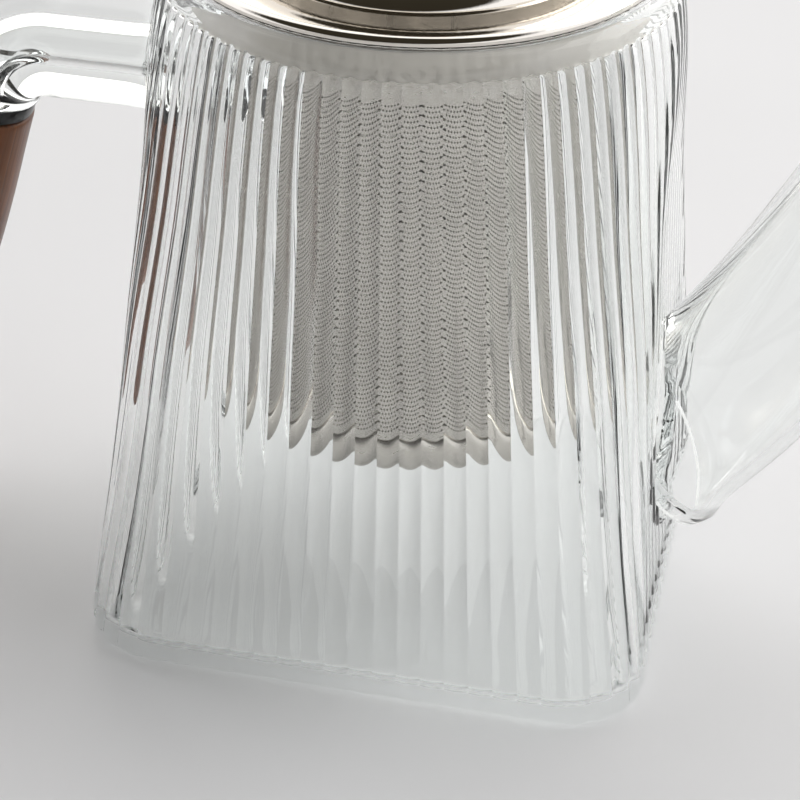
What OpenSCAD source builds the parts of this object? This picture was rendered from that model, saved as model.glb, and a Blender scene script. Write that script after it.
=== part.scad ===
// Glass teapot with a steel infuser, a domed lid and a turned wooden grip.
// Millimetres, +Z up. The origin is the centre of the base, on the surface that the pot stands on.
// +X points to the spout and -X to the handle. The pot mirrors across Y = 0.

/* [Glass body] */
// Width of the square base
base_side = 100; // [80:1:130]
// Width across the flats near the top
waist_side = 88.6; // [70:0.2:110]
// Corner radius of the base
base_corner = 13.4; // [6:0.2:25]
// Height of the fire-polished mouth
mouth_z = 118.3; // [90:0.1:150]
// Inner radius of the mouth
mouth_r = 38.7; // [30:0.1:42]
// Thickness of the blown wall
wall = 2.4; // [1.6:0.1:4]
// Thickness of the floor
floor_t = 2.8; // [2:0.1:8]
// Number of ribs around the outside of the wall
rib_count = 88; // [40:4:120]
// Height of one rib above the groove beside it
rib_depth = 0.5; // [0.1:0.05:1]

/* [Spout] */
// Height of the spout's root, where its axis meets the wall
spout_root_z = 30.5; // [20:0.5:60]
// Reach of the spout's tip from the middle of the pot
spout_reach = 90.5; // [70:0.5:110]
// Height of the spout's tip
spout_tip_z = 123.7; // [100:0.1:140]
// Outer radius of the spout at its tip
spout_tip_r = 8; // [5:0.1:14]
// Thickness of the spout's glass
spout_wall = 2.2; // [1.4:0.1:3.5]

/* [Handle] */
// Height of the glass arm's axis
arm_z = 95; // [80:0.5:105]
// Outer radius of the glass arm
arm_r = 10; // [7:0.1:12]
// Radius of the narrow bore along the glass arm
arm_bore_r = 3; // [2:0.1:9]
// Radius of the arm's bend, on its axis
arm_bend_r = 13.8; // [11:0.1:25]
// Distance from the middle of the pot to the start of the bend
arm_bend_x = 65.9; // [58:0.1:80]
// Lean of the grip away from the pot
grip_tilt = 18; // [0:1:30]
// Length of the wooden grip
grip_len = 70; // [50:1:90]
// Radius of the grip where it meets the ring
grip_top_r = 10.2; // [8:0.1:14]
// Thickness of the black ring that shows between glass and wood
ring_t = 3; // [1:0.1:6]
// Outer radius of the glass stub that goes into the wood
stub_r = 6.5; // [4:0.1:8]
// Length of the stub below the arm's lip
stub_len = 24; // [10:1:40]
// Thickness of the bushing's sleeve around the stub
bushing_t = 1; // [0.5:0.1:2]

/* [Infuser] */
// Outer radius of the perforated sleeve
sleeve_r = 28.8; // [22:0.1:34]
// Thickness of the infuser's sheet steel
sheet = 0.5; // [0.3:0.05:1]
// Height of the underside of the infuser's base
infuser_z = 35; // [15:0.5:60]
// Height of the base cup's side wall
cup_h = 6; // [3:0.5:12]
// Outer radius of the flange that rests on the mouth
flange_r = 40.6; // [38:0.1:44]
// Radius of the flange's rolled edge
flange_bead_r = 1; // [0.4:0.1:1.5]
// Depth of the collar that centres the infuser in the mouth
collar_h = 5.6; // [3:0.1:12]
// Radius of one hole in the infuser's floor
floor_hole_r = 0.9; // [0.5:0.1:1.5]

/* [Lid] */
// Radius of the lid's edge
lid_r = 29.9; // [26:0.1:34]
// Height of the lid's upright edge
lid_edge_h = 2; // [1:0.1:6]
// Rise of the dome above that edge
dome_rise = 6; // [2:0.1:14]
// Depth of the skirt inside the sleeve
skirt_h = 7; // [3:0.1:12]
// Radius of the knob at its widest
knob_r = 9.5; // [7:0.1:14]
// Height of the knob
knob_h = 15; // [8:0.5:24]

/* [Hidden] */
fit_gap = 0.3;                       // clearance between pieces that lift apart
eps = 0.01;
outer_points = 2 * rib_count;        // points around the outside: one on each rib and one in each groove
inner_points = 96;                   // points around the inside of the body
spout_points = 40;                   // points around the spout
waist = waist_side / 2;
waist_z = 82;
shoulder_z = 113;
flange_z = mouth_z + fit_gap;        // underside of the flange
flange_t = 0.7;
flange_top = flange_z + flange_t;
sleeve_in = sleeve_r - sheet;
collar_r = mouth_r - 0.5;
lid_z = flange_top + fit_gap;        // underside of the lid's edge
lid_t = 0.7;
dome_top = lid_z + lid_edge_h + dome_rise;
skirt_r = sleeve_in - 0.5;
washer_t = 1;
screw_r = 2;
screw_head_h = 2;
knob_flat_r = 6;                     // flat in the middle of the dome, under the knob
grip_top = [
    -arm_bend_x - arm_bend_r * cos(grip_tilt) - ring_t * sin(grip_tilt),
    0,
    arm_z - arm_bend_r * (1 - sin(grip_tilt)) - ring_t * cos(grip_tilt)
];
clear_glass = [0.82, 0.9, 0.9, 0.35];
steel = [0.78, 0.77, 0.75];
walnut = [0.4, 0.2, 0.1];
black = [0.05, 0.05, 0.05];

// Outside of the body: [height, half width, roundness, share of the rib depth].
// Roundness 0 keeps the base's corner radius and 1 is a full circle.
outer_profile = [
    [0, base_side / 2 - 3.2, 0, 0.5],
    [0.9, base_side / 2 - 1.1, 0, 1],
    [3, base_side / 2, 0, 1],
    [14, 49.1, 0.05, 1],
    [28, 47.6, 0.14, 1],
    [45, 46.3, 0.26, 1],
    [62, 45.3, 0.4, 1],
    [waist_z, waist, 0.6, 1],
    [97, waist, 0.72, 1],
    [107, waist - 0.3, 0.8, 1],
    [shoulder_z, waist - 1, 0.88, 1],
    [mouth_z - 2.3, waist - 1.7, 0.94, 0.8],
    [mouth_z - 1.1, waist - 2.3, 0.97, 0],
    [mouth_z - 0.4, waist - 3, 1, 0],
    [mouth_z, waist - 4, 1, 0]
];

// Inside of the body, from the floor up: [height, half width, roundness].
inner_profile = [
    [floor_t, base_side / 2 - wall - 2.5, 0],
    [floor_t + 1.8, base_side / 2 - wall - 0.3, 0],
    [14, 49.1 - wall, 0.05],
    [28, 47.6 - wall, 0.14],
    [45, 46.3 - wall, 0.26],
    [62, 45.3 - wall, 0.4],
    [waist_z, waist - wall, 0.6],
    [97, waist - wall, 0.72],
    [107, waist - wall - 0.3, 0.8],
    [shoulder_z, waist - wall - 1, 0.88],
    [mouth_z - 2.7, waist - wall - 2.2, 0.95],
    [mouth_z - 1.5, mouth_r, 1],
    [mouth_z - 0.6, mouth_r, 1],
    [mouth_z + 1, mouth_r + 1.6, 1]
];

// Corner radius of a section from its half width and roundness.
function corner(w, round) = w * (2 * base_corner / base_side * (1 - round) + round);

// Point on a rounded square of half width w and corner radius r, at the fraction u of its perimeter.
function section_point(u, w, r) =
    let (
        quarter = floor(4 * u + 0.5),
        q = 2 * (4 * u - quarter),
        flat = w - r,
        s = abs(q) * (flat + r * PI / 4),
        turn = max(0, s - flat) / r * 180 / PI,
        x = flat + r * cos(turn),
        y = sign(q) * (min(s, flat) + r * sin(turn)),
        a = 90 * quarter
    )
    [x * cos(a) - y * sin(a), x * sin(a) + y * cos(a)];

// One ring of n points around the body. Every second point lies deeper, in a groove between two ribs.
function body_ring(z, w, round, depth, n) =
    [for (i = [0 : n - 1])
        let (
            inset = (i % 2) * depth,
            p = section_point(i / n, w - inset, corner(w, round) - inset)
        )
        [p.x, p.y, z]];

// Closed skin over a stack of rings that all have n points.
module skin(rings, n) {
    last = len(rings) - 1;
    sides = [
        for (k = [0 : last - 1], i = [0 : n - 1])
            let (j = (i + 1) % n, a = k * n, b = a + n)
            each [[a + i, b + i, b + j], [a + i, b + j, a + j]]
    ];
    foot = [for (i = [0 : n - 1]) i];
    head = [for (i = [n - 1 : -1 : 0]) last * n + i];
    polyhedron(points = [for (ring = rings) each ring], faces = concat(sides, [foot], [head]), convexity = 8);
}

// The body as if it were solid, with its ribs.
module body_envelope() {
    skin([for (p = outer_profile) body_ring(p[0], p[1], p[2], p[3] * rib_depth, outer_points)], outer_points);
}

// The body's outside at the bottom of its grooves, where the spout and the arm are fused to it.
module body_core() {
    skin([for (p = outer_profile) body_ring(p[0], p[1] - rib_depth, p[2], 0, inner_points)], inner_points);
}

// The space inside the body.
module body_cavity() {
    skin([for (p = inner_profile) body_ring(p[0], p[1], p[2], 0, inner_points)], inner_points);
}

// Spout axis: a curve that leaves the wall outwards and bends up to the tip.
spout_start = [44, spout_root_z];
spout_knee = [69, 47];
spout_end = [spout_reach, spout_tip_z];

function bend(s, a, b, c) = (1 - s) * (1 - s) * a + 2 * s * (1 - s) * b + s * s * c;
function spout_at(s) = bend(s, spout_start, spout_knee, spout_end);
function spout_dir(s) =
    let (d = 2 * (1 - s) * (spout_knee - spout_start) + 2 * s * (spout_end - spout_knee))
    d / norm(d);

// Outer radius of the spout. It flares where it is fused to the wall and a little at the pouring lip.
function spout_radius(s) =
    bend(s, 14.7, 18.6, spout_tip_r)
    + 3.6 * exp(-max(0, spout_at(s).x - 46.5) / 3)
    + 0.9 * exp(-(1 - s) / 0.03);

// Ring of points across the spout's axis, inside its outer radius by inset.
function spout_ring(s, inset) =
    let (c = spout_at(s), d = spout_dir(s), r = spout_radius(min(s, 1)) - inset)
    [for (i = [0 : spout_points - 1])
        let (a = 360 * i / spout_points, side = r * cos(a), up = r * sin(a))
        [c.x - up * d.y, side, c.y + up * d.x]];

// Solid swept along the spout's axis, thinner than the outside by inset.
module spout_sweep(from, to, steps, inset) {
    rings = [for (k = [0 : steps]) spout_ring(from + (to - from) * k / steps, inset)];
    for (k = [0 : steps - 1])
        hull()
        skin([rings[k], rings[k + 1]], spout_points);
}

// Ribbed vessel with a square base, a round mouth and the spout's opening in its wall.
module glass_body() {
    color(clear_glass)
    difference() {
        body_envelope();
        body_cavity();
        spout_sweep(-0.14, 0.26, 10, spout_wall);
    }
}

// Wide spout, fused to the wall around its opening.
module glass_spout() {
    color(clear_glass)
    difference() {
        spout_sweep(-0.1, 1, 26, 0);
        spout_sweep(-0.14, 1.02, 26, spout_wall);
        body_core();
    }
}

// Places its children on the grip's axis: z = 0 is the top of the wood and +z leads up to the glass.
module on_grip_axis() {
    translate(grip_top)
    rotate([0, grip_tilt, 0])
    children();
}

// The arm's path as a rod of radius r: straight out of the wall, then down through the bend.
module arm_rod(r) {
    root = waist - rib_depth;
    translate([-root, 0, arm_z])
    rotate([0, -90, 0])
    cylinder(h = arm_bend_x - root, r = r, $fn = 64);
    translate([-arm_bend_x, 0, arm_z - arm_bend_r])
    rotate([90, 0, 0])
    rotate([0, 0, 90])
    rotate_extrude(angle = 90 - grip_tilt, $fn = 96)
    translate([arm_bend_r, 0])
    circle(r = r, $fn = 64);
}

// Thick glass arm with a narrow bore, a beaded lip, and the stub that carries the grip.
module glass_arm() {
    lip_r = 1.6;
    color(clear_glass)
    difference() {
        union() {
            arm_rod(arm_r);
            on_grip_axis()
            translate([0, 0, ring_t + lip_r])
            rotate_extrude($fn = 64)
            translate([grip_top_r + 0.4 - lip_r, 0])
            circle(r = lip_r, $fn = 24);
            on_grip_axis()
            translate([0, 0, ring_t - stub_len])
            cylinder(h = stub_len + 1, r = stub_r, $fn = 64);
        }
        arm_rod(arm_bore_r);
        on_grip_axis()
        translate([0, 0, ring_t - stub_len - 1])
        cylinder(h = stub_len + 3, r = arm_bore_r + 0.5, $fn = 64);
    }
}

// Black top-hat bushing: its brim is the ring that shows, and its sleeve lines the wood's bore.
module grip_bushing() {
    color(black)
    on_grip_axis()
    difference() {
        union() {
            cylinder(h = ring_t, r = grip_top_r - 0.2, $fn = 64);
            translate([0, 0, -stub_len + ring_t])
            cylinder(h = stub_len - ring_t + eps, r = stub_r + bushing_t, $fn = 64);
        }
        translate([0, 0, -stub_len])
        cylinder(h = 2 * stub_len, r = stub_r, $fn = 64);
    }
}

// Turned wooden grip with a blind bore for the bushing.
module wooden_grip() {
    shape = [
        [0, -grip_len],
        [grip_top_r - 4.4, -grip_len],
        [grip_top_r - 2.9, -grip_len + 0.5],
        [grip_top_r - 1.9, -grip_len + 1.6],
        [grip_top_r - 1.4, -grip_len + 3.2],
        [grip_top_r - 0.7, -grip_len + 12],
        [grip_top_r + 0.2, -grip_len + 26],
        [grip_top_r + 0.7, -grip_len + 40],
        [grip_top_r + 0.6, -grip_len + 52],
        [grip_top_r + 0.2, -7],
        [grip_top_r, -1],
        [grip_top_r - 0.6, 0],
        [0, 0]
    ];
    color(walnut)
    on_grip_axis()
    difference() {
        rotate_extrude($fn = 72)
        polygon(shape);
        translate([0, 0, -stub_len + ring_t - 1])
        cylinder(h = stub_len, r = stub_r + bushing_t, $fn = 64);
    }
}

// Spun ring that rests on the glass mouth, with a rolled outer edge.
module infuser_flange() {
    color(steel)
    rotate_extrude($fn = 120)
    union() {
        translate([sleeve_r, flange_z])
        square([flange_r - flange_bead_r - sleeve_r, flange_t]);
        translate([flange_r - flange_bead_r, flange_z + flange_bead_r + 0.1])
        circle(r = flange_bead_r, $fn = 24);
    }
}

// Short collar under the flange that centres the infuser in the mouth.
module infuser_collar() {
    color(steel)
    translate([0, 0, flange_z - collar_h])
    difference() {
        cylinder(h = collar_h, r = collar_r, $fn = 120);
        translate([0, 0, -1])
        cylinder(h = collar_h + 2, r = collar_r - sheet, $fn = 120);
    }
}

// Straight sleeve. Its fine perforation is left out here.
module infuser_sleeve() {
    bottom = infuser_z + sheet;
    color(steel)
    translate([0, 0, bottom])
    difference() {
        cylinder(h = flange_top - bottom, r = sleeve_r, $fn = 120);
        translate([0, 0, -1])
        cylinder(h = flange_top, r = sleeve_in, $fn = 120);
    }
}

// Pressed cup that closes the sleeve, with rings of drain holes in its floor.
module infuser_base() {
    ring_gap = 4.4;
    color(steel)
    translate([0, 0, infuser_z])
    difference() {
        cylinder(h = cup_h, r = sleeve_r + sheet, $fn = 120);
        translate([0, 0, sheet])
        cylinder(h = cup_h, r = sleeve_r, $fn = 120);
        for (k = [1 : 5], i = [0 : 6 * k - 1])
            rotate([0, 0, 60 * i / k])
            translate([k * ring_gap, 0, -1])
            cylinder(h = sheet + 2, r = floor_hole_r, $fn = 16);
    }
}

// Height of the dome's outside above the lid's edge, at the radius r.
function dome_height(r) = dome_rise * (1 - pow(max(0, r - knob_flat_r) / (lid_r - knob_flat_r), 2.2));

// Spun lid: an upright edge, a shallow dome and a flat for the knob.
module lid_dome() {
    steps = 14;
    top = lid_z + lid_edge_h;
    radii = [for (k = [0 : steps]) knob_flat_r + (lid_r - knob_flat_r) * k / steps];
    outside = [for (r = radii) [r, top + dome_height(r)]];
    inside = [for (k = [steps : -1 : 0]) [radii[k] * (lid_r - lid_t) / lid_r, top + dome_height(radii[k]) - lid_t]];
    color(steel)
    rotate_extrude($fn = 120)
    polygon(concat(
        [[screw_r + 0.2, dome_top]],
        outside,
        [[lid_r, lid_z], [lid_r - lid_t, lid_z]],
        inside,
        [[screw_r + 0.2, dome_top - lid_t]]
    ));
}

// Ring welded inside the lid that keeps it centred in the sleeve.
module lid_skirt() {
    color(steel)
    rotate_extrude($fn = 120)
    polygon([
        [skirt_r - sheet, lid_z - skirt_h],
        [skirt_r, lid_z - skirt_h],
        [skirt_r, lid_z],
        [lid_r - lid_t, lid_z],
        [lid_r - lid_t, lid_z + sheet],
        [skirt_r - sheet, lid_z + sheet]
    ]);
}

// Flat washer under the dome.
module knob_washer() {
    color(steel)
    translate([0, 0, dome_top - lid_t - washer_t])
    difference() {
        cylinder(h = washer_t, r = knob_flat_r - 0.8, $fn = 48);
        translate([0, 0, -1])
        cylinder(h = washer_t + 2, r = screw_r, $fn = 48);
    }
}

// Round-head screw that holds the knob from below.
module knob_screw() {
    under = dome_top - lid_t - washer_t;
    color(steel)
    union() {
        translate([0, 0, under - screw_head_h])
        cylinder(h = screw_head_h, r = 2 * screw_r, $fn = 48);
        translate([0, 0, under - eps])
        cylinder(h = knob_h * 0.6 + washer_t + lid_t, r = screw_r, $fn = 48);
    }
}

// Turned wooden knob with a narrow neck.
module lid_knob() {
    shape = [
        [0, 0],
        [knob_flat_r - 0.4, 0],
        [knob_flat_r - 0.6, 1],
        [knob_flat_r - 1.2, knob_h * 0.2],
        [knob_flat_r - 0.8, knob_h * 0.34],
        [knob_r - 1.4, knob_h * 0.56],
        [knob_r - 0.2, knob_h * 0.7],
        [knob_r, knob_h * 0.8],
        [knob_r - 0.5, knob_h * 0.9],
        [knob_r - 2, knob_h * 0.97],
        [knob_r - 4.5, knob_h],
        [0, knob_h]
    ];
    color(walnut)
    translate([0, 0, dome_top])
    difference() {
        rotate_extrude($fn = 72)
        polygon(shape);
        translate([0, 0, -1])
        cylinder(h = knob_h * 0.6 + 1.2, r = screw_r, $fn = 48);
    }
}

glass_body();
glass_spout();
glass_arm();
grip_bushing();
wooden_grip();
infuser_flange();
infuser_collar();
infuser_sleeve();
infuser_base();
lid_dome();
lid_skirt();
knob_washer();
knob_screw();
lid_knob();
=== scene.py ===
"""Glass teapot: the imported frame, finished in glass, polished steel, walnut and black rubber.

Lengths are in millimetres until a mesh is made. +Z is up, +X the spout, -X the handle.
"""

import math

import bpy
from mathutils import Matrix, Vector


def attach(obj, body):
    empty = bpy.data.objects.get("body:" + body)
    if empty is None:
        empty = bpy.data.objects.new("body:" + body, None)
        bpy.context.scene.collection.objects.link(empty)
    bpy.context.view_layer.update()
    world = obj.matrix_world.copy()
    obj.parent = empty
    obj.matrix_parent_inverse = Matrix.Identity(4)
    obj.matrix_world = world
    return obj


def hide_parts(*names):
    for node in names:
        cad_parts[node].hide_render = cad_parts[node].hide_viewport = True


MM = 0.001

# ---------------------------------------------------------------- sizes shared with the CAD

BASE_HALF = 50.0
BASE_CORNER = 13.4
WAIST = 44.3
MOUTH_R = 38.7
RIBS = 88
RIB_STEPS = 8
RIB_DEPTH = 0.5
FLOOR_T = 2.8
FUSE_DEPTH = 0.9          # how far the spout and the arm reach into the vessel's wall
GLASS_SHARP_ANGLE = 28    # degrees; keeps the grooves between the ribs crisp

SPOUT_POINTS = ((44.0, 30.5), (69.0, 47.0), (90.5, 123.7))
SPOUT_RADII = (14.7, 18.6, 8.0)
SPOUT_WALL = 2.2

ARM_Z = 95.0
ARM_R = 10.0
ARM_BORE_R = 3.0
ARM_BEND_R = 13.8
ARM_BEND_X = 65.9
GRIP_TILT = math.radians(18)
GRIP_LEN = 70.0
GRIP_TOP_R = 10.2
RING_T = 3.0
STUB_R = 6.5
STUB_LEN = 24.0
BUSHING_T = 1.0

SLEEVE_R = 28.8
SHEET = 0.5
INFUSER_Z = 35.0
CUP_H = 6.0
FLANGE_Z = 118.6
FLANGE_T = 0.7
FLANGE_R = 40.6
BEAD_R = 1.0
COLLAR_R = 38.2
COLLAR_H = 5.6
HOLES_FROM_Z = 42.6
HOLES_TO_Z = 104.4
HOLE_ROWS = 70
HOLE_COLUMNS = 176
HOLE_SHARE = 0.62         # width of a hole as a share of the spacing

LID_R = 29.9
LID_Z = 119.6
LID_EDGE_H = 2.0
LID_T = 0.7
DOME_RISE = 6.0
KNOB_FLAT_R = 6.0
KNOB_R = 9.5
KNOB_H = 15.0
SCREW_R = 2.0

TURNED_STEPS = 192        # points around the flange, the collar and the lid

# Outside of the body: height, half width, roundness, share of the rib depth.
# Roundness 0 keeps the base's corners and 1 is a circle.
OUTER = (
    (0.0, 46.8, 0.0, 0.6),
    (0.3, 48.1, 0.0, 1.0),
    (0.9, 48.9, 0.0, 1.0),
    (1.8, 49.6, 0.0, 1.0),
    (3.0, 50.0, 0.0, 1.0),
    (7.0, 49.7, 0.02, 1.0),
    (14.0, 49.1, 0.05, 1.0),
    (28.0, 47.6, 0.14, 1.0),
    (45.0, 46.3, 0.26, 1.0),
    (62.0, 45.3, 0.4, 1.0),
    (82.0, WAIST, 0.62, 1.0),
    (97.0, WAIST, 0.82, 1.0),
    (107.0, WAIST - 0.3, 0.94, 1.0),
    (113.0, WAIST - 1.0, 0.99, 1.0),
    (114.4, WAIST - 1.3, 1.0, 1.0),
    (115.2, WAIST - 1.5, 1.0, 0.0),
    (116.0, WAIST - 1.7, 1.0, 0.0),
    (117.2, WAIST - 2.3, 1.0, 0.0),
    (117.9, WAIST - 3.0, 1.0, 0.0),
    (118.3, WAIST - 4.0, 1.0, 0.0),
)

# Inside of the body, from the mouth down: height, half width, roundness.
INNER = (
    (118.15, 39.3, 1.0),
    (117.7, MOUTH_R, 1.0),
    (116.8, MOUTH_R, 1.0),
    (115.6, 39.7, 1.0),
    (113.0, 40.9, 0.99),
    (107.0, 41.6, 0.94),
    (97.0, 41.9, 0.82),
    (82.0, 41.9, 0.62),
    (62.0, 42.9, 0.4),
    (45.0, 43.9, 0.26),
    (28.0, 45.2, 0.14),
    (14.0, 46.7, 0.05),
    (6.5, 47.3, 0.0),
    (4.6, 47.0, 0.0),
    (3.3, 46.0, 0.0),
    (FLOOR_T, 44.2, 0.0),
)

# ---------------------------------------------------------------- camera

CAMERA_AZIMUTH = math.radians(12.02)
CAMERA_ELEVATION = math.radians(33.16)
CAMERA_ROLL = math.radians(1.12)
CAMERA_DISTANCE = 409.7
CAMERA_TARGET = Vector((0, 0, 60))
CAMERA_OFFSET = (-2.24, -24.85)
CAMERA_LENS = 104.0

# ---------------------------------------------------------------- light and table

TABLE_HALF = 8000
TABLE_Z = 0.05            # just inside the glass, so that no gap is left under it
ROOM_STRENGTH = 1.65
OVERHEAD = (-0.1, -0.6, 0.79)
WINDOW_PLACE = (0.85, 0.6, 0.85)
WINDOW_AIM = (0.03, 0, 0.03)
WINDOW_SIZE = (1.2, 1.0)
WINDOW_POWER = 7.5
WINDOW_COLOUR = (1.0, 0.99, 0.98)
LIGHT_BOUNCES = 32        # enough for light to leave the thick glass at the spout's root


# ---------------------------------------------------------------- meshes


def make_object(name, verts, faces, smooth_angle=40):
    """A new object from points in millimetres."""
    mesh = bpy.data.meshes.new(name)
    mesh.from_pydata([(x * MM, y * MM, z * MM) for x, y, z in verts], [], faces)
    mesh.validate()
    mesh.update()
    mesh.shade_smooth()
    mesh.set_sharp_from_angle(angle=math.radians(smooth_angle))
    obj = bpy.data.objects.new(name, mesh)
    bpy.context.scene.collection.objects.link(obj)
    return obj


def loft(name, rings, smooth_angle=40, loop=False):
    """A skin over rings of equal length. A ring of one point closes an end, and loop joins last to first."""
    verts = []
    starts = []
    for ring in rings:
        starts.append(len(verts))
        verts.extend(ring)
    faces = []
    pairs = list(range(len(rings) - 1))
    if loop:
        pairs.append(len(rings) - 1)
    for k in pairs:
        j = (k + 1) % len(rings)
        a, b = starts[k], starts[j]
        na, nb = len(rings[k]), len(rings[j])
        n = max(na, nb)
        for i in range(n):
            i2 = (i + 1) % n
            if na == 1:
                faces.append((a, b + i2, b + i))
            elif nb == 1:
                faces.append((a + i, a + i2, b))
            else:
                faces.append((a + i, a + i2, b + i2, b + i))
    return make_object(name, verts, faces, smooth_angle)


def lathe(name, profile, steps=128, smooth_angle=40, loop=False):
    """A surface of revolution about Z. Profile points are (radius, height); radius 0 closes an end."""
    rings = []
    for r, z in profile:
        if r == 0:
            rings.append([(0, 0, z)])
        else:
            turns = [2 * math.pi * i / steps for i in range(steps)]
            rings.append([(r * math.cos(a), r * math.sin(a), z) for a in turns])
    return loft(name, rings, smooth_angle, loop)


def catmull_rom(a, b, c, d, t):
    """Value at the fraction t between b and c."""
    square = (2 * a - 5 * b + 4 * c - d) * t * t
    cube = (3 * b - a - 3 * c + d) * t ** 3
    return 0.5 * (2 * b + (c - a) * t + square + cube)


def smooth_table(rows, parts):
    """Catmull-Rom between the rows of a table, with the given number of steps for each gap."""
    out = []
    last = len(rows) - 1
    for k in range(last):
        p0 = rows[max(k - 1, 0)]
        p1 = rows[k]
        p2 = rows[k + 1]
        p3 = rows[min(k + 2, last)]
        for j in range(parts):
            t = j / parts
            out.append(tuple(catmull_rom(a, b, c, d, t) for a, b, c, d in zip(p0, p1, p2, p3)))
    out.append(rows[last])
    return out


def arc(cx, cz, r, start, end, steps=8):
    """Points of a circular arc in the (radius, height) plane, angles in degrees."""
    out = []
    for i in range(steps + 1):
        a = math.radians(start + (end - start) * i / steps)
        out.append((cx + r * math.cos(a), cz + r * math.sin(a)))
    return out


def cut(obj, tool, operation="DIFFERENCE"):
    """Applies one boolean, then removes the tool."""
    step = obj.modifiers.new("cut", "BOOLEAN")
    step.operation = operation
    step.object = tool
    step.solver = "EXACT"
    graph = bpy.context.evaluated_depsgraph_get()
    done = bpy.data.meshes.new_from_object(obj.evaluated_get(graph))
    obj.modifiers.clear()
    obj.data = done
    bpy.data.objects.remove(tool)


# ---------------------------------------------------------------- the glass


def corner(w, roundness):
    """Corner radius of a section of half width w."""
    return w * (2 * BASE_CORNER / (2 * BASE_HALF) * (1 - roundness) + roundness)


def section_point(u, w, r):
    """Point at the fraction u of the perimeter of a rounded square."""
    quarter = math.floor(4 * u + 0.5)
    q = 2 * (4 * u - quarter)
    flat = w - r
    s = abs(q) * (flat + r * math.pi / 4)
    turn = max(0.0, s - flat) / r
    x = flat + r * math.cos(turn)
    y = math.copysign(min(s, flat) + r * math.sin(turn), q)
    a = quarter * math.pi / 2
    return x * math.cos(a) - y * math.sin(a), x * math.sin(a) + y * math.cos(a)


def groove_depth(i):
    """Depth below a rib's crest at the point i around the body, from 0 to 1: each rib is a convex arc."""
    across = 2 * (i % RIB_STEPS) / RIB_STEPS - 1
    return across ** 2


def body_ring(z, w, roundness, ribs=0.0):
    """Ring around the body. ribs is the share of the full rib depth."""
    ring = []
    n = RIBS * RIB_STEPS
    for i in range(n):
        inset = max(0.0, ribs) * RIB_DEPTH * groove_depth(i)
        x, y = section_point(i / n, w - inset, corner(w, roundness) - inset)
        ring.append((x, y, z))
    return ring


def glass_walls():
    """The ribbed vessel before anything is fused to it."""
    outside = [body_ring(z, w, c, k) for z, w, c, k in smooth_table(OUTER, 3)]
    inside = [body_ring(z, w, c) for z, w, c in smooth_table(INNER, 3)]
    floor = [body_ring(FLOOR_T, 30, 0.3), body_ring(FLOOR_T, 12, 1)]
    rings = [[(0, 0, 0)], body_ring(0, 20, 0.6)] + outside + inside + floor + [[(0, 0, FLOOR_T)]]
    return loft("glass_vessel_ribbed", rings, GLASS_SHARP_ANGLE)


def bend(s, a, b, c):
    """Quadratic Bezier value at s."""
    return (1 - s) ** 2 * a + 2 * s * (1 - s) * b + s * s * c


def spout_at(s):
    """Centre and direction of the spout's axis in the XZ plane, s from 0 at the root to 1 at the lip."""
    (ax, az), (bx, bz), (cx, cz) = SPOUT_POINTS
    centre = Vector((bend(s, ax, bx, cx), bend(s, az, bz, cz)))
    along_x = 2 * (1 - s) * (bx - ax) + 2 * s * (cx - bx)
    along_z = 2 * (1 - s) * (bz - az) + 2 * s * (cz - bz)
    return centre, Vector((along_x, along_z)).normalized()


def spout_radius(s):
    """Outer radius, with a flare at the root and a slight one at the lip."""
    centre, _ = spout_at(s)
    root = 3.6 * math.exp(-max(0.0, centre.x - 46.5) / 3)
    lip = 0.9 * math.exp(-(1 - s) / 0.03)
    return bend(s, *SPOUT_RADII) + root + lip


def spout_ring(s, inset, n=96):
    centre, along = spout_at(s)
    r = spout_radius(min(s, 1)) - inset
    ring = []
    for i in range(n):
        a = 2 * math.pi * i / n
        side, up = r * math.cos(a), r * math.sin(a)
        ring.append((centre.x - up * along.y, side, centre.y + up * along.x))
    return ring


def spout_tube(name, start, end, steps, inset):
    """A closed solid along the spout's axis."""
    places = [start + (end - start) * k / steps for k in range(steps + 1)]
    rings = [spout_ring(s, inset) for s in places]
    first, last = spout_at(start)[0], spout_at(end)[0]
    return loft(name, [[(first.x, 0, first.y)]] + rings + [[(last.x, 0, last.y)]])


def spout_walls():
    """The spout's tube with a rounded lip. Its root starts inside the vessel, to be cut back to the wall."""
    steps = 60
    start = 0.02
    places = [start + (1 - start) * k / steps for k in range(steps + 1)]
    outside = [spout_ring(s, 0) for s in places]
    lip_places = ((1.004, 0.25), (1.007, 0.9), (1.006, 1.6), (1.002, 2.05))
    lip = [spout_ring(s, inset) for s, inset in lip_places]
    inside = [spout_ring(s, SPOUT_WALL) for s in reversed(places)]
    return loft("spout_walls", outside + lip + inside, 60, loop=True)


def arm_frame(t):
    """Centre, direction and upward normal of the arm's path, t millimetres from the wall."""
    straight = ARM_BEND_X - WAIST
    turn = math.pi / 2 - GRIP_TILT
    if t <= straight:
        return Vector((-WAIST - t, 0, ARM_Z)), Vector((-1, 0, 0)), Vector((0, 0, 1))
    a = min((t - straight) / ARM_BEND_R, turn)
    rest = t - straight - a * ARM_BEND_R
    along = Vector((-math.cos(a), 0, -math.sin(a)))
    out = Vector((-math.sin(a), 0, math.cos(a)))
    centre = Vector((-ARM_BEND_X, 0, ARM_Z - ARM_BEND_R)) + out * ARM_BEND_R + along * rest
    return centre, along, out


ARM_END = ARM_BEND_X - WAIST + ARM_BEND_R * (math.pi / 2 - GRIP_TILT)


def arm_ring(t, r, n=96):
    """Circle of radius r around the arm's path."""
    centre, _, out = arm_frame(t)
    side = Vector((0, 1, 0))
    ring = []
    for i in range(n):
        a = 2 * math.pi * i / n
        ring.append(tuple(centre + out * (r * math.cos(a)) + side * (r * math.sin(a))))
    return ring


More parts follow.
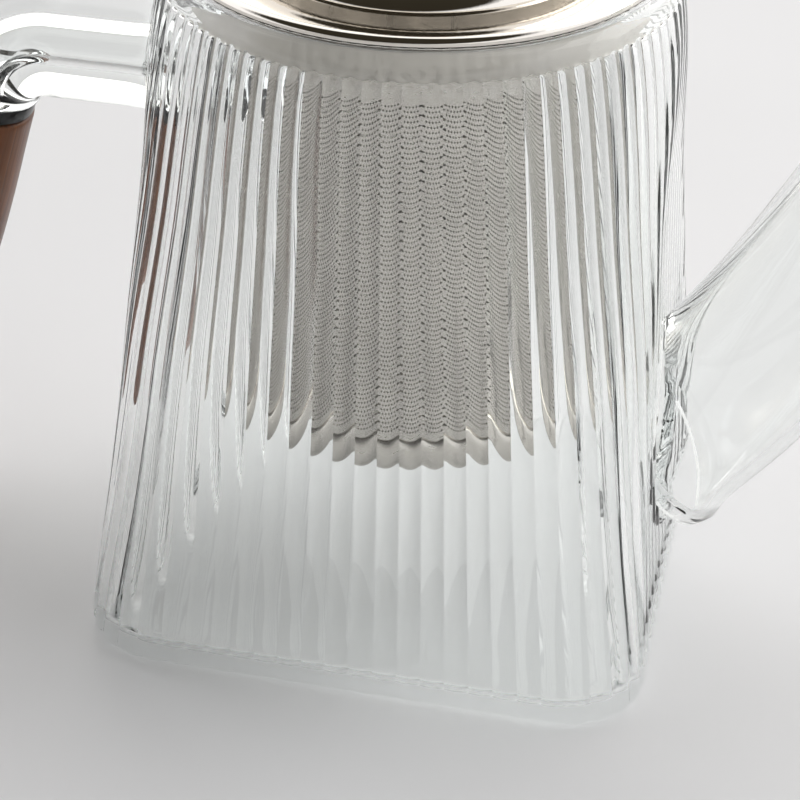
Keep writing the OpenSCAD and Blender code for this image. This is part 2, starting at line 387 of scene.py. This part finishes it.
def arm_walls():
    """Thick arm: outside, beaded lip, stub inside the wood, then back up the narrow bore to the wall."""
    flare = 2.2
    flare_fade = 1.6
    flare_step = 0.8
    flare_steps = 8
    flare_end = 6.4
    bead_r = 1.6
    bead_room = 3.6
    edge = 0.6
    stub_end = ARM_END + STUB_LEN
    stub_bore_r = ARM_BORE_R + 0.5
    steps = 40
    rings = []
    for k in range(flare_steps + 1):
        t = flare_step * k
        rings.append(arm_ring(t - FUSE_DEPTH, ARM_R + flare * math.exp(-t / flare_fade)))
    for k in range(1, steps + 1):
        t = flare_end + (ARM_END - bead_room - flare_end) * k / steps
        rings.append(arm_ring(t, ARM_R))
    bead = arc(ARM_R - 1.1, ARM_END - bead_r, bead_r, 120, -90, 14)
    rings += [arm_ring(2 * (ARM_END - bead_r) - t, r) for r, t in bead[:-1]]
    rings += [arm_ring(ARM_END, STUB_R + edge), arm_ring(ARM_END + edge, STUB_R)]
    rings += [arm_ring(stub_end - edge, STUB_R), arm_ring(stub_end, STUB_R - edge)]
    rings += [arm_ring(stub_end, ARM_BORE_R + 1), arm_ring(stub_end - 0.5, stub_bore_r)]
    rings += [arm_ring(ARM_END + 1, stub_bore_r), arm_ring(ARM_END - 2, ARM_BORE_R)]
    for k in range(steps + 1):
        t = (ARM_END - 4) * (1 - k / steps)
        rings.append(arm_ring(t - FUSE_DEPTH, ARM_BORE_R))
    return loft("arm_walls", rings, 60, loop=True)


def glass_vessel():
    """Body, spout and arm fused into one piece of glass, as a glassblower does."""
    vessel = glass_walls()
    core = [body_ring(z, w - FUSE_DEPTH, c) for z, w, c, _ in smooth_table(OUTER, 2)]
    inner_space = loft("inner_space", [[(0, 0, 0)]] + core + [[(0, 0, OUTER[-1][0])]])
    spout = spout_walls()
    cut(spout, inner_space)
    cut(vessel, spout_tube("opening", -0.14, 0.26, 12, SPOUT_WALL))
    cut(vessel, spout, "UNION")
    cut(vessel, arm_walls(), "UNION")
    vessel.data.set_sharp_from_angle(angle=math.radians(GLASS_SHARP_ANGLE))
    return vessel


def on_grip_axis(obj):
    """Moves an object built about its own Z so that its zero is the top of the wood."""
    foot, _, _ = arm_frame(ARM_END + RING_T)
    obj.matrix_world = Matrix.Translation(foot * MM) @ Matrix.Rotation(GRIP_TILT, 4, "Y")


# ---------------------------------------------------------------- grip, steel and lid


def grip_bushing():
    """Black top-hat bushing: its brim is the ring above the wood."""
    edge = 0.7
    r = GRIP_TOP_R - 0.2
    foot = RING_T - STUB_LEN
    profile = (
        [(STUB_R, foot), (STUB_R + BUSHING_T, foot), (STUB_R + BUSHING_T, 0)]
        + arc(r - edge, edge, edge, -90, 0)
        + arc(r - edge, RING_T - edge, edge, 0, 90)
        + [(STUB_R, RING_T)]
    )
    obj = lathe("grip_bushing_black", profile, loop=True)
    on_grip_axis(obj)
    return obj


def wooden_grip():
    """Turned grip with a rounded foot, drilled from the top for the bushing."""
    r = GRIP_TOP_R
    side = smooth_table(
        (
            (r - 1.6, -GRIP_LEN + 3.4),
            (r - 1.0, -GRIP_LEN + 12),
            (r - 0.1, -GRIP_LEN + 26),
            (r + 0.4, -GRIP_LEN + 40),
            (r + 0.4, -GRIP_LEN + 52),
            (r + 0.1, -7.0),
            (r, -1.0),
        ),
        6,
    )
    hole_r = STUB_R + BUSHING_T
    foot = RING_T - STUB_LEN
    profile = (
        [(0, -GRIP_LEN), (2, -GRIP_LEN), (r - 5.0, -GRIP_LEN)]
        + arc(r - 5.0, -GRIP_LEN + 3.4, 3.4, -90, -6, 10)
        + side
        + arc(r - 0.7, -0.7, 0.7, 20, 90, 5)
        + [(hole_r, 0), (hole_r, foot - 1), (0, foot - 1)]
    )
    obj = lathe("wooden_grip_turned", profile)
    on_grip_axis(obj)
    return obj


def infuser_flange():
    """Spun ring: a flat land with a broken inner edge and a rolled outer edge."""
    top = FLANGE_Z + FLANGE_T
    bead_x = FLANGE_R - BEAD_R
    bead_z = FLANGE_Z + BEAD_R + 0.1
    profile = (
        [(SLEEVE_R, FLANGE_Z), (SLEEVE_R, top - 0.15), (SLEEVE_R + 0.15, top), (bead_x - 1.3, top)]
        + arc(bead_x, bead_z, BEAD_R, 150, -90, 16)
    )
    return lathe("infuser_flange_rolled", profile, TURNED_STEPS, 50, loop=True)


def tube_profile(r, t, z0, z1, edge=0.12):
    """A thin cylinder wall with its edges broken."""
    return [
        (r - t, z0 + edge),
        (r - t + edge, z0),
        (r - edge, z0),
        (r, z0 + edge),
        (r, z1 - edge),
        (r - edge, z1),
        (r - t + edge, z1),
        (r - t, z1 - edge),
    ]


def infuser_collar():
    """Short plain band that centres the infuser in the mouth."""
    profile = tube_profile(COLLAR_R, SHEET, FLANGE_Z - COLLAR_H, FLANGE_Z)
    return lathe("infuser_collar_band", profile, TURNED_STEPS, 50, True)


def on_sleeve(angle, z, r):
    """Point on a cylinder of radius r."""
    return r * math.cos(angle), r * math.sin(angle), z


def perforated_band(name, row_from, row_to):
    """Rows of the sleeve's sheet, each cell with its own hole through both skins.

    Every row shifts by half the spacing.
    """
    skins = (SLEEVE_R, SLEEVE_R - SHEET)
    pitch_a = 2 * math.pi / HOLE_COLUMNS
    pitch_z = (HOLES_TO_Z - HOLES_FROM_Z) / HOLE_ROWS
    rows = row_to - row_from
    verts = []
    faces = []
    grid = []
    for r in skins:
        grid.append(len(verts))
        for k in range(rows + 1):
            row = row_from + k
            for c in range(HOLE_COLUMNS):
                verts.append(on_sleeve((c + 0.5 * row) * pitch_a, HOLES_FROM_Z + row * pitch_z, r))
    half = HOLE_SHARE / 2
    rim = ((0, -half), (half, 0), (0, half), (-half, 0))
    for k in range(rows):
        row = row_from + k
        for c in range(HOLE_COLUMNS):
            c2 = (c + 1) % HOLE_COLUMNS
            centre = c + 0.5 * row + 0.75
            holes = []
            for skin, r in enumerate(skins):
                start = len(verts)
                holes.append(start)
                for da, dz in rim:
                    z = HOLES_FROM_Z + (row + 0.5 + dz) * pitch_z
                    verts.append(on_sleeve((centre + da) * pitch_a, z, r))
                low = grid[skin] + k * HOLE_COLUMNS
                high = low + HOLE_COLUMNS
                corners = (low + c, low + c2, high + c2, high + c)
                for i in range(4):
                    j = (i + 1) % 4
                    quad = (corners[i], corners[j], start + j, start + i)
                    faces.append(quad if skin == 0 else quad[::-1])
            for i in range(4):
                j = (i + 1) % 4
                faces.append((holes[0] + i, holes[0] + j, holes[1] + j, holes[1] + i))
    return make_object(name, verts, faces, 35)


def infuser_sleeve():
    """The sleeve's two plain bands and its perforated sheet, in four pieces that meet edge to edge."""
    middle = HOLE_ROWS // 2
    bottom = INFUSER_Z + SHEET
    top = FLANGE_Z + FLANGE_T
    foot = tube_profile(SLEEVE_R, SHEET, bottom, HOLES_FROM_Z, 0.0)
    head = tube_profile(SLEEVE_R, SHEET, HOLES_TO_Z, top, 0.0)
    return [
        lathe("infuser_sleeve_foot", foot, HOLE_COLUMNS, 50, True),
        perforated_band("infuser_sleeve_lower", 0, middle),
        perforated_band("infuser_sleeve_upper", middle, HOLE_ROWS),
        lathe("infuser_sleeve_head", head, HOLE_COLUMNS, 50, True),
    ]


def infuser_base():
    """Pressed cup with a rounded foot, around the sleeve's lower end."""
    r = SLEEVE_R + SHEET
    z = INFUSER_Z
    profile = (
        [(0, z), (6, z), (12, z), (18, z), (24, z)]
        + arc(r - 1.4, z + 1.4, 1.4, -90, 0, 8)
        + [(r, z + CUP_H - 0.15), (r - 0.15, z + CUP_H), (SLEEVE_R, z + CUP_H), (SLEEVE_R, z + 1.6)]
        + arc(r - 1.4 - 0.1, z + 1.5, 0.9, 0, -90, 6)
        + [(24, z + SHEET), (18, z + SHEET), (12, z + SHEET), (6, z + SHEET), (0, z + SHEET)]
    )
    return lathe("infuser_base_cup", profile, HOLE_COLUMNS, 50)


def dome_height(r):
    """Height of the lid's dome above its edge, flat under the knob."""
    return DOME_RISE * (1 - (max(0.0, r - KNOB_FLAT_R) / (LID_R - KNOB_FLAT_R)) ** 2.2)


def lid_dome():
    """Spun lid with a bevelled edge and a hole for the screw."""
    steps = 24
    top = LID_Z + LID_EDGE_H
    hole = SCREW_R + 0.2
    radii = [KNOB_FLAT_R + (LID_R - 2.2 - KNOB_FLAT_R) * k / steps for k in range(steps + 1)]
    outside = [(hole, top + DOME_RISE)] + [(r, top + dome_height(r)) for r in radii]
    bevel_rows = ((1.5, 0.7), (0.9, 0.15), (0.45, -0.4), (0.15, -1.0))
    bevel = [(LID_R - inset, top + rise) for inset, rise in bevel_rows]
    edge = bevel + [(LID_R, LID_Z + 0.3), (LID_R - 0.1, LID_Z)]
    foot = [(LID_R - LID_T + 0.1, LID_Z), (LID_R - LID_T, LID_Z + 0.1)]
    inside = [(r * (LID_R - LID_T) / LID_R, top + dome_height(r) - LID_T) for r in reversed(radii)]
    profile = outside + edge + foot + inside + [(hole, top + DOME_RISE - LID_T)]
    return lathe("lid_dome_spun", profile, TURNED_STEPS, 50, loop=True)


def lid_knob():
    """Turned wooden knob, drilled from below for the screw."""
    base = LID_Z + LID_EDGE_H + DOME_RISE
    flat = KNOB_FLAT_R
    side = smooth_table(
        (
            (flat - 0.4, 0.3),
            (flat - 0.7, 1.2),
            (flat - 1.2, KNOB_H * 0.2),
            (flat - 0.8, KNOB_H * 0.34),
            (KNOB_R - 1.4, KNOB_H * 0.56),
            (KNOB_R - 0.2, KNOB_H * 0.7),
            (KNOB_R, KNOB_H * 0.8),
            (KNOB_R - 0.5, KNOB_H * 0.9),
            (KNOB_R - 2, KNOB_H * 0.97),
            (KNOB_R - 4.5, KNOB_H - 0.05),
            (KNOB_R - 7, KNOB_H),
        ),
        6,
    )
    bore = [(0, KNOB_H * 0.6), (SCREW_R, KNOB_H * 0.6), (SCREW_R, 0), (flat - 0.7, 0)]
    obj = lathe("lid_knob_turned", bore + side + [(0, KNOB_H)], 96)
    obj.location = (0, 0, base * MM)
    return obj


# ---------------------------------------------------------------- materials


def new_material(name):
    material = bpy.data.materials.new(name)
    material.use_nodes = True
    tree = material.node_tree
    return material, tree, tree.nodes["Principled BSDF"]


def node(tree, kind, **values):
    """Adds a node. Values are set on its inputs by name, or on the node itself."""
    made = tree.nodes.new(kind)
    for key, value in values.items():
        name = key.replace("_", " ")
        if name in made.inputs:
            made.inputs[name].default_value = value
        else:
            setattr(made, key, value)
    return made


def coordinates(tree, scale):
    """Object coordinates, stretched by scale."""
    where = node(tree, "ShaderNodeTexCoord")
    mapping = node(tree, "ShaderNodeMapping")
    mapping.inputs["Scale"].default_value = scale
    tree.links.new(where.outputs["Object"], mapping.inputs["Vector"])
    return mapping.outputs["Vector"]


def noise(tree, scale, detail=4.0, stretch=(1, 1, 1)):
    made = node(tree, "ShaderNodeTexNoise", Scale=scale, Detail=detail)
    tree.links.new(coordinates(tree, stretch), made.inputs["Vector"])
    return made.outputs["Fac"]


def ramp(tree, factor, stops):
    """Colour that follows factor between the stops, each a position and a colour."""
    made = node(tree, "ShaderNodeValToRGB")
    tree.links.new(factor, made.inputs["Fac"])
    points = made.color_ramp.elements
    while len(points) < len(stops):
        points.new(0.5)
    for point, (position, colour) in zip(points, stops):
        point.position = position
        point.color = (*colour, 1)
    return made.outputs["Color"]


def between(tree, factor, low, high):
    """Maps a factor of 0 to 1 to the range low to high."""
    made = node(tree, "ShaderNodeMapRange")
    made.inputs["To Min"].default_value = low
    made.inputs["To Max"].default_value = high
    tree.links.new(factor, made.inputs["Value"])
    return made.outputs["Result"]


def bump(tree, shader, height, strength, distance):
    made = node(tree, "ShaderNodeBump", Strength=strength, Distance=distance)
    tree.links.new(height, made.inputs["Height"])
    tree.links.new(made.outputs["Normal"], shader.inputs["Normal"])


def clear_glass():
    """Slightly wavy blown glass with a faint green body colour. Shadow rays pass straight through it."""
    material, tree, shader = new_material("clear_glass")
    shader.inputs["Base Color"].default_value = (0.985, 0.995, 0.99, 1)
    shader.inputs["IOR"].default_value = 1.47
    shader.inputs["Transmission Weight"].default_value = 1.0
    tree.links.new(between(tree, noise(tree, 60, 2), 0.0, 0.02), shader.inputs["Roughness"])
    bump(tree, shader, noise(tree, 45, 2, (1, 1, 0.35)), 0.25, 0.0004)
    path = node(tree, "ShaderNodeLightPath")
    through = node(tree, "ShaderNodeBsdfTransparent")
    through.inputs["Color"].default_value = (0.985, 0.99, 0.99, 1)
    mix = node(tree, "ShaderNodeMixShader")
    tree.links.new(path.outputs["Is Shadow Ray"], mix.inputs["Fac"])
    tree.links.new(shader.outputs["BSDF"], mix.inputs[1])
    tree.links.new(through.outputs["BSDF"], mix.inputs[2])
    tree.links.new(mix.outputs["Shader"], tree.nodes["Material Output"].inputs["Surface"])
    depth = node(tree, "ShaderNodeVolumeAbsorption")
    depth.inputs["Color"].default_value = (0.8, 0.95, 0.91, 1)
    depth.inputs["Density"].default_value = 4.0
    tree.links.new(depth.outputs["Volume"], tree.nodes["Material Output"].inputs["Volume"])
    return material


def steel(name, colour, rough, grain):
    """Stainless steel, a little uneven in colour and roughness. grain stretches its fine texture."""
    material, tree, shader = new_material(name)
    shader.inputs["Metallic"].default_value = 1.0
    tint = noise(tree, 90, 3)
    dark = tuple(0.9 * c for c in colour)
    tree.links.new(ramp(tree, tint, [(0.3, dark), (0.7, colour)]), shader.inputs["Base Color"])
    lines = noise(tree, 1500, 2, grain)
    tree.links.new(between(tree, lines, rough * 0.6, rough * 1.4), shader.inputs["Roughness"])
    bump(tree, shader, lines, 0.06, 0.0001)
    return material


def walnut():
    """Oiled walnut with its grain along the local Z."""
    material, tree, shader = new_material("walnut")
    grain = noise(tree, 260, 8, (1, 1, 0.07))
    fine = noise(tree, 1500, 6, (1, 1, 0.03))
    dark = (0.055, 0.014, 0.003)
    middle = (0.15, 0.042, 0.008)
    light = (0.26, 0.085, 0.02)
    colour = ramp(tree, grain, [(0.3, dark), (0.5, middle), (0.72, light)])
    pores = ramp(tree, fine, [(0.36, (0.45, 0.4, 0.38)), (0.5, (1, 1, 1))])
    mix = node(tree, "ShaderNodeMix", data_type="RGBA", blend_type="MULTIPLY")
    mix.inputs["Factor"].default_value = 0.8
    tree.links.new(colour, mix.inputs[6])
    tree.links.new(pores, mix.inputs[7])
    tree.links.new(mix.outputs[2], shader.inputs["Base Color"])
    tree.links.new(between(tree, fine, 0.28, 0.48), shader.inputs["Roughness"])
    shader.inputs["Coat Weight"].default_value = 0.12
    shader.inputs["Coat Roughness"].default_value = 0.18
    bump(tree, shader, fine, 0.25, 0.0002)
    return material


def black_rubber():
    """Smooth black silicone."""
    material, tree, shader = new_material("black_silicone")
    spots = noise(tree, 400, 3)
    colour = ramp(tree, spots, [(0.3, (0.006, 0.006, 0.007)), (0.8, (0.016, 0.016, 0.018))])
    tree.links.new(colour, shader.inputs["Base Color"])
    tree.links.new(between(tree, spots, 0.12, 0.3), shader.inputs["Roughness"])
    bump(tree, shader, spots, 0.05, 0.0001)
    return material


def pale_table():
    """Matt, nearly white table top."""
    material, tree, shader = new_material("pale_table")
    cloud = noise(tree, 6, 3)
    colour = ramp(tree, cloud, [(0.3, (0.74, 0.74, 0.75)), (0.7, (0.78, 0.78, 0.79))])
    tree.links.new(colour, shader.inputs["Base Color"])
    shader.inputs["Roughness"].default_value = 0.55
    return material


def dress(obj, material, slot, body, *nodes):
    """Gives a piece its material and body and hides the CAD nodes that it stands for; slot is not used."""
    obj.data.materials.clear()
    obj.data.materials.append(material)
    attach(obj, body)
    if nodes:
        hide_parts(*nodes)


# ---------------------------------------------------------------- light and camera


def floor():
    """A table top that touches the glass, so that light passes straight from one to the other."""
    signs = ((-1, -1), (1, -1), (1, 1), (-1, 1))
    corners = [(x * TABLE_HALF, y * TABLE_HALF, TABLE_Z) for x, y in signs]
    obj = make_object("floor", corners, [(0, 1, 2, 3)])
    obj.data.materials.append(pale_table())


def area_light(name, place, aim, size, power, colour):
    """Rectangular light that faces the point aim."""
    data = bpy.data.lights.new(name, "AREA")
    data.shape = "RECTANGLE"
    data.size, data.size_y = size
    data.energy = power
    data.color = colour
    obj = bpy.data.objects.new(name, data)
    obj.location = place
    obj.rotation_euler = (Vector(aim) - Vector(place)).to_track_quat("-Z", "Y").to_euler()
    bpy.context.scene.collection.objects.link(obj)


def room():
    """A pale room, brightest behind the pot. A dark patch overhead gives the lid something to reflect."""
    world = bpy.data.worlds.new("room")
    bpy.context.scene.world = world
    world.use_nodes = True
    tree = world.node_tree
    where = node(tree, "ShaderNodeTexCoord")
    split = node(tree, "ShaderNodeSeparateXYZ")
    tree.links.new(where.outputs["Generated"], split.inputs["Vector"])
    spread = node(tree, "ShaderNodeMapRange")
    spread.inputs["From Min"].default_value = -1.0
    tree.links.new(split.outputs["Y"], spread.inputs["Value"])
    front = (0.7, 0.7, 0.71)
    side = (0.8, 0.8, 0.82)
    behind = (1.0, 0.98, 0.94)
    walls = ramp(tree, spread.outputs["Result"], [(0.0, front), (0.5, side), (1.0, behind)])
    overhead = node(tree, "ShaderNodeVectorMath", operation="DOT_PRODUCT")
    tree.links.new(where.outputs["Generated"], overhead.inputs[0])
    overhead.inputs[1].default_value = OVERHEAD
    patch = ramp(tree, overhead.outputs["Value"], [(0.55, (1, 1, 1)), (0.68, (0.03, 0.026, 0.018))])
    mix = node(tree, "ShaderNodeMix", data_type="RGBA", blend_type="MULTIPLY")
    mix.inputs["Factor"].default_value = 1.0
    tree.links.new(walls, mix.inputs[6])
    tree.links.new(patch, mix.inputs[7])
    back = tree.nodes["Background"]
    tree.links.new(mix.outputs[2], back.inputs["Color"])
    back.inputs["Strength"].default_value = ROOM_STRENGTH


def camera():
    """Camera at its distance from the target, turned by its azimuth, elevation and roll."""
    az, el = CAMERA_AZIMUTH, CAMERA_ELEVATION
    back = Vector((math.sin(az) * math.cos(el), -math.cos(az) * math.cos(el), math.sin(el)))
    right = Vector((0, 0, 1)).cross(back).normalized()
    up = back.cross(right)
    target = CAMERA_TARGET + right * CAMERA_OFFSET[0] + up * CAMERA_OFFSET[1]
    x_axis = right * math.cos(CAMERA_ROLL) + up * math.sin(CAMERA_ROLL)
    y_axis = up * math.cos(CAMERA_ROLL) - right * math.sin(CAMERA_ROLL)
    data = bpy.data.cameras.new("camera")
    data.sensor_width = 36
    data.lens = CAMERA_LENS
    data.clip_start = 0.01
    obj = bpy.data.objects.new("camera", data)
    turn = Matrix((x_axis, y_axis, back)).transposed().to_4x4()
    obj.matrix_world = Matrix.Translation((target + back * CAMERA_DISTANCE) * MM) @ turn
    bpy.context.scene.collection.objects.link(obj)
    bpy.context.scene.camera = obj


# ---------------------------------------------------------------- the scene

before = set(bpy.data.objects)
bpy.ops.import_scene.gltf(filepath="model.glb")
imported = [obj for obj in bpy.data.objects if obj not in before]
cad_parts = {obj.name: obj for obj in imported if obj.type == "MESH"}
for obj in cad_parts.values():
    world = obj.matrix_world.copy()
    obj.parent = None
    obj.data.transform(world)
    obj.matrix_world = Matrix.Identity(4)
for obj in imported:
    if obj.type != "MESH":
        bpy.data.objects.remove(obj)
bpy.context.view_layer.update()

glass = clear_glass()
polished = steel("polished_steel", (0.82, 0.78, 0.72), 0.07, (1, 1, 1))
band = steel("worn_polished_steel", (0.8, 0.76, 0.7), 0.4, (1, 1, 1))
satin = steel("satin_steel", (0.66, 0.63, 0.58), 0.24, (0.2, 0.2, 1))
wood = walnut()
black = black_rubber()

dress(glass_vessel(), glass, "clear_glass", "vessel", "glass_body", "glass_spout", "glass_arm")
dress(grip_bushing(), black, "black_silicone", "vessel", "grip_bushing")
dress(wooden_grip(), wood, "walnut", "vessel", "wooden_grip")
dress(infuser_flange(), polished, "polished_steel", "infuser", "infuser_flange")
dress(infuser_collar(), band, "polished_steel", "infuser", "infuser_collar")
for piece in infuser_sleeve():
    dress(piece, satin, "satin_steel", "infuser", "infuser_sleeve")
dress(infuser_base(), satin, "satin_steel", "infuser", "infuser_base")
dress(lid_dome(), polished, "polished_steel", "lid", "lid_dome")
dress(lid_knob(), wood, "walnut", "lid", "lid_knob")
for name in ("lid_skirt", "knob_washer", "knob_screw"):
    for material_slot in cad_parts[name].material_slots:
        material_slot.material = satin

floor()
room()
area_light("window", WINDOW_PLACE, WINDOW_AIM, WINDOW_SIZE, WINDOW_POWER, WINDOW_COLOUR)
camera()

cycles = bpy.context.scene.cycles
cycles.max_bounces = LIGHT_BOUNCES
cycles.transmission_bounces = LIGHT_BOUNCES
cycles.transparent_max_bounces = LIGHT_BOUNCES
bpy.context.scene.view_settings.view_transform = "Standard"
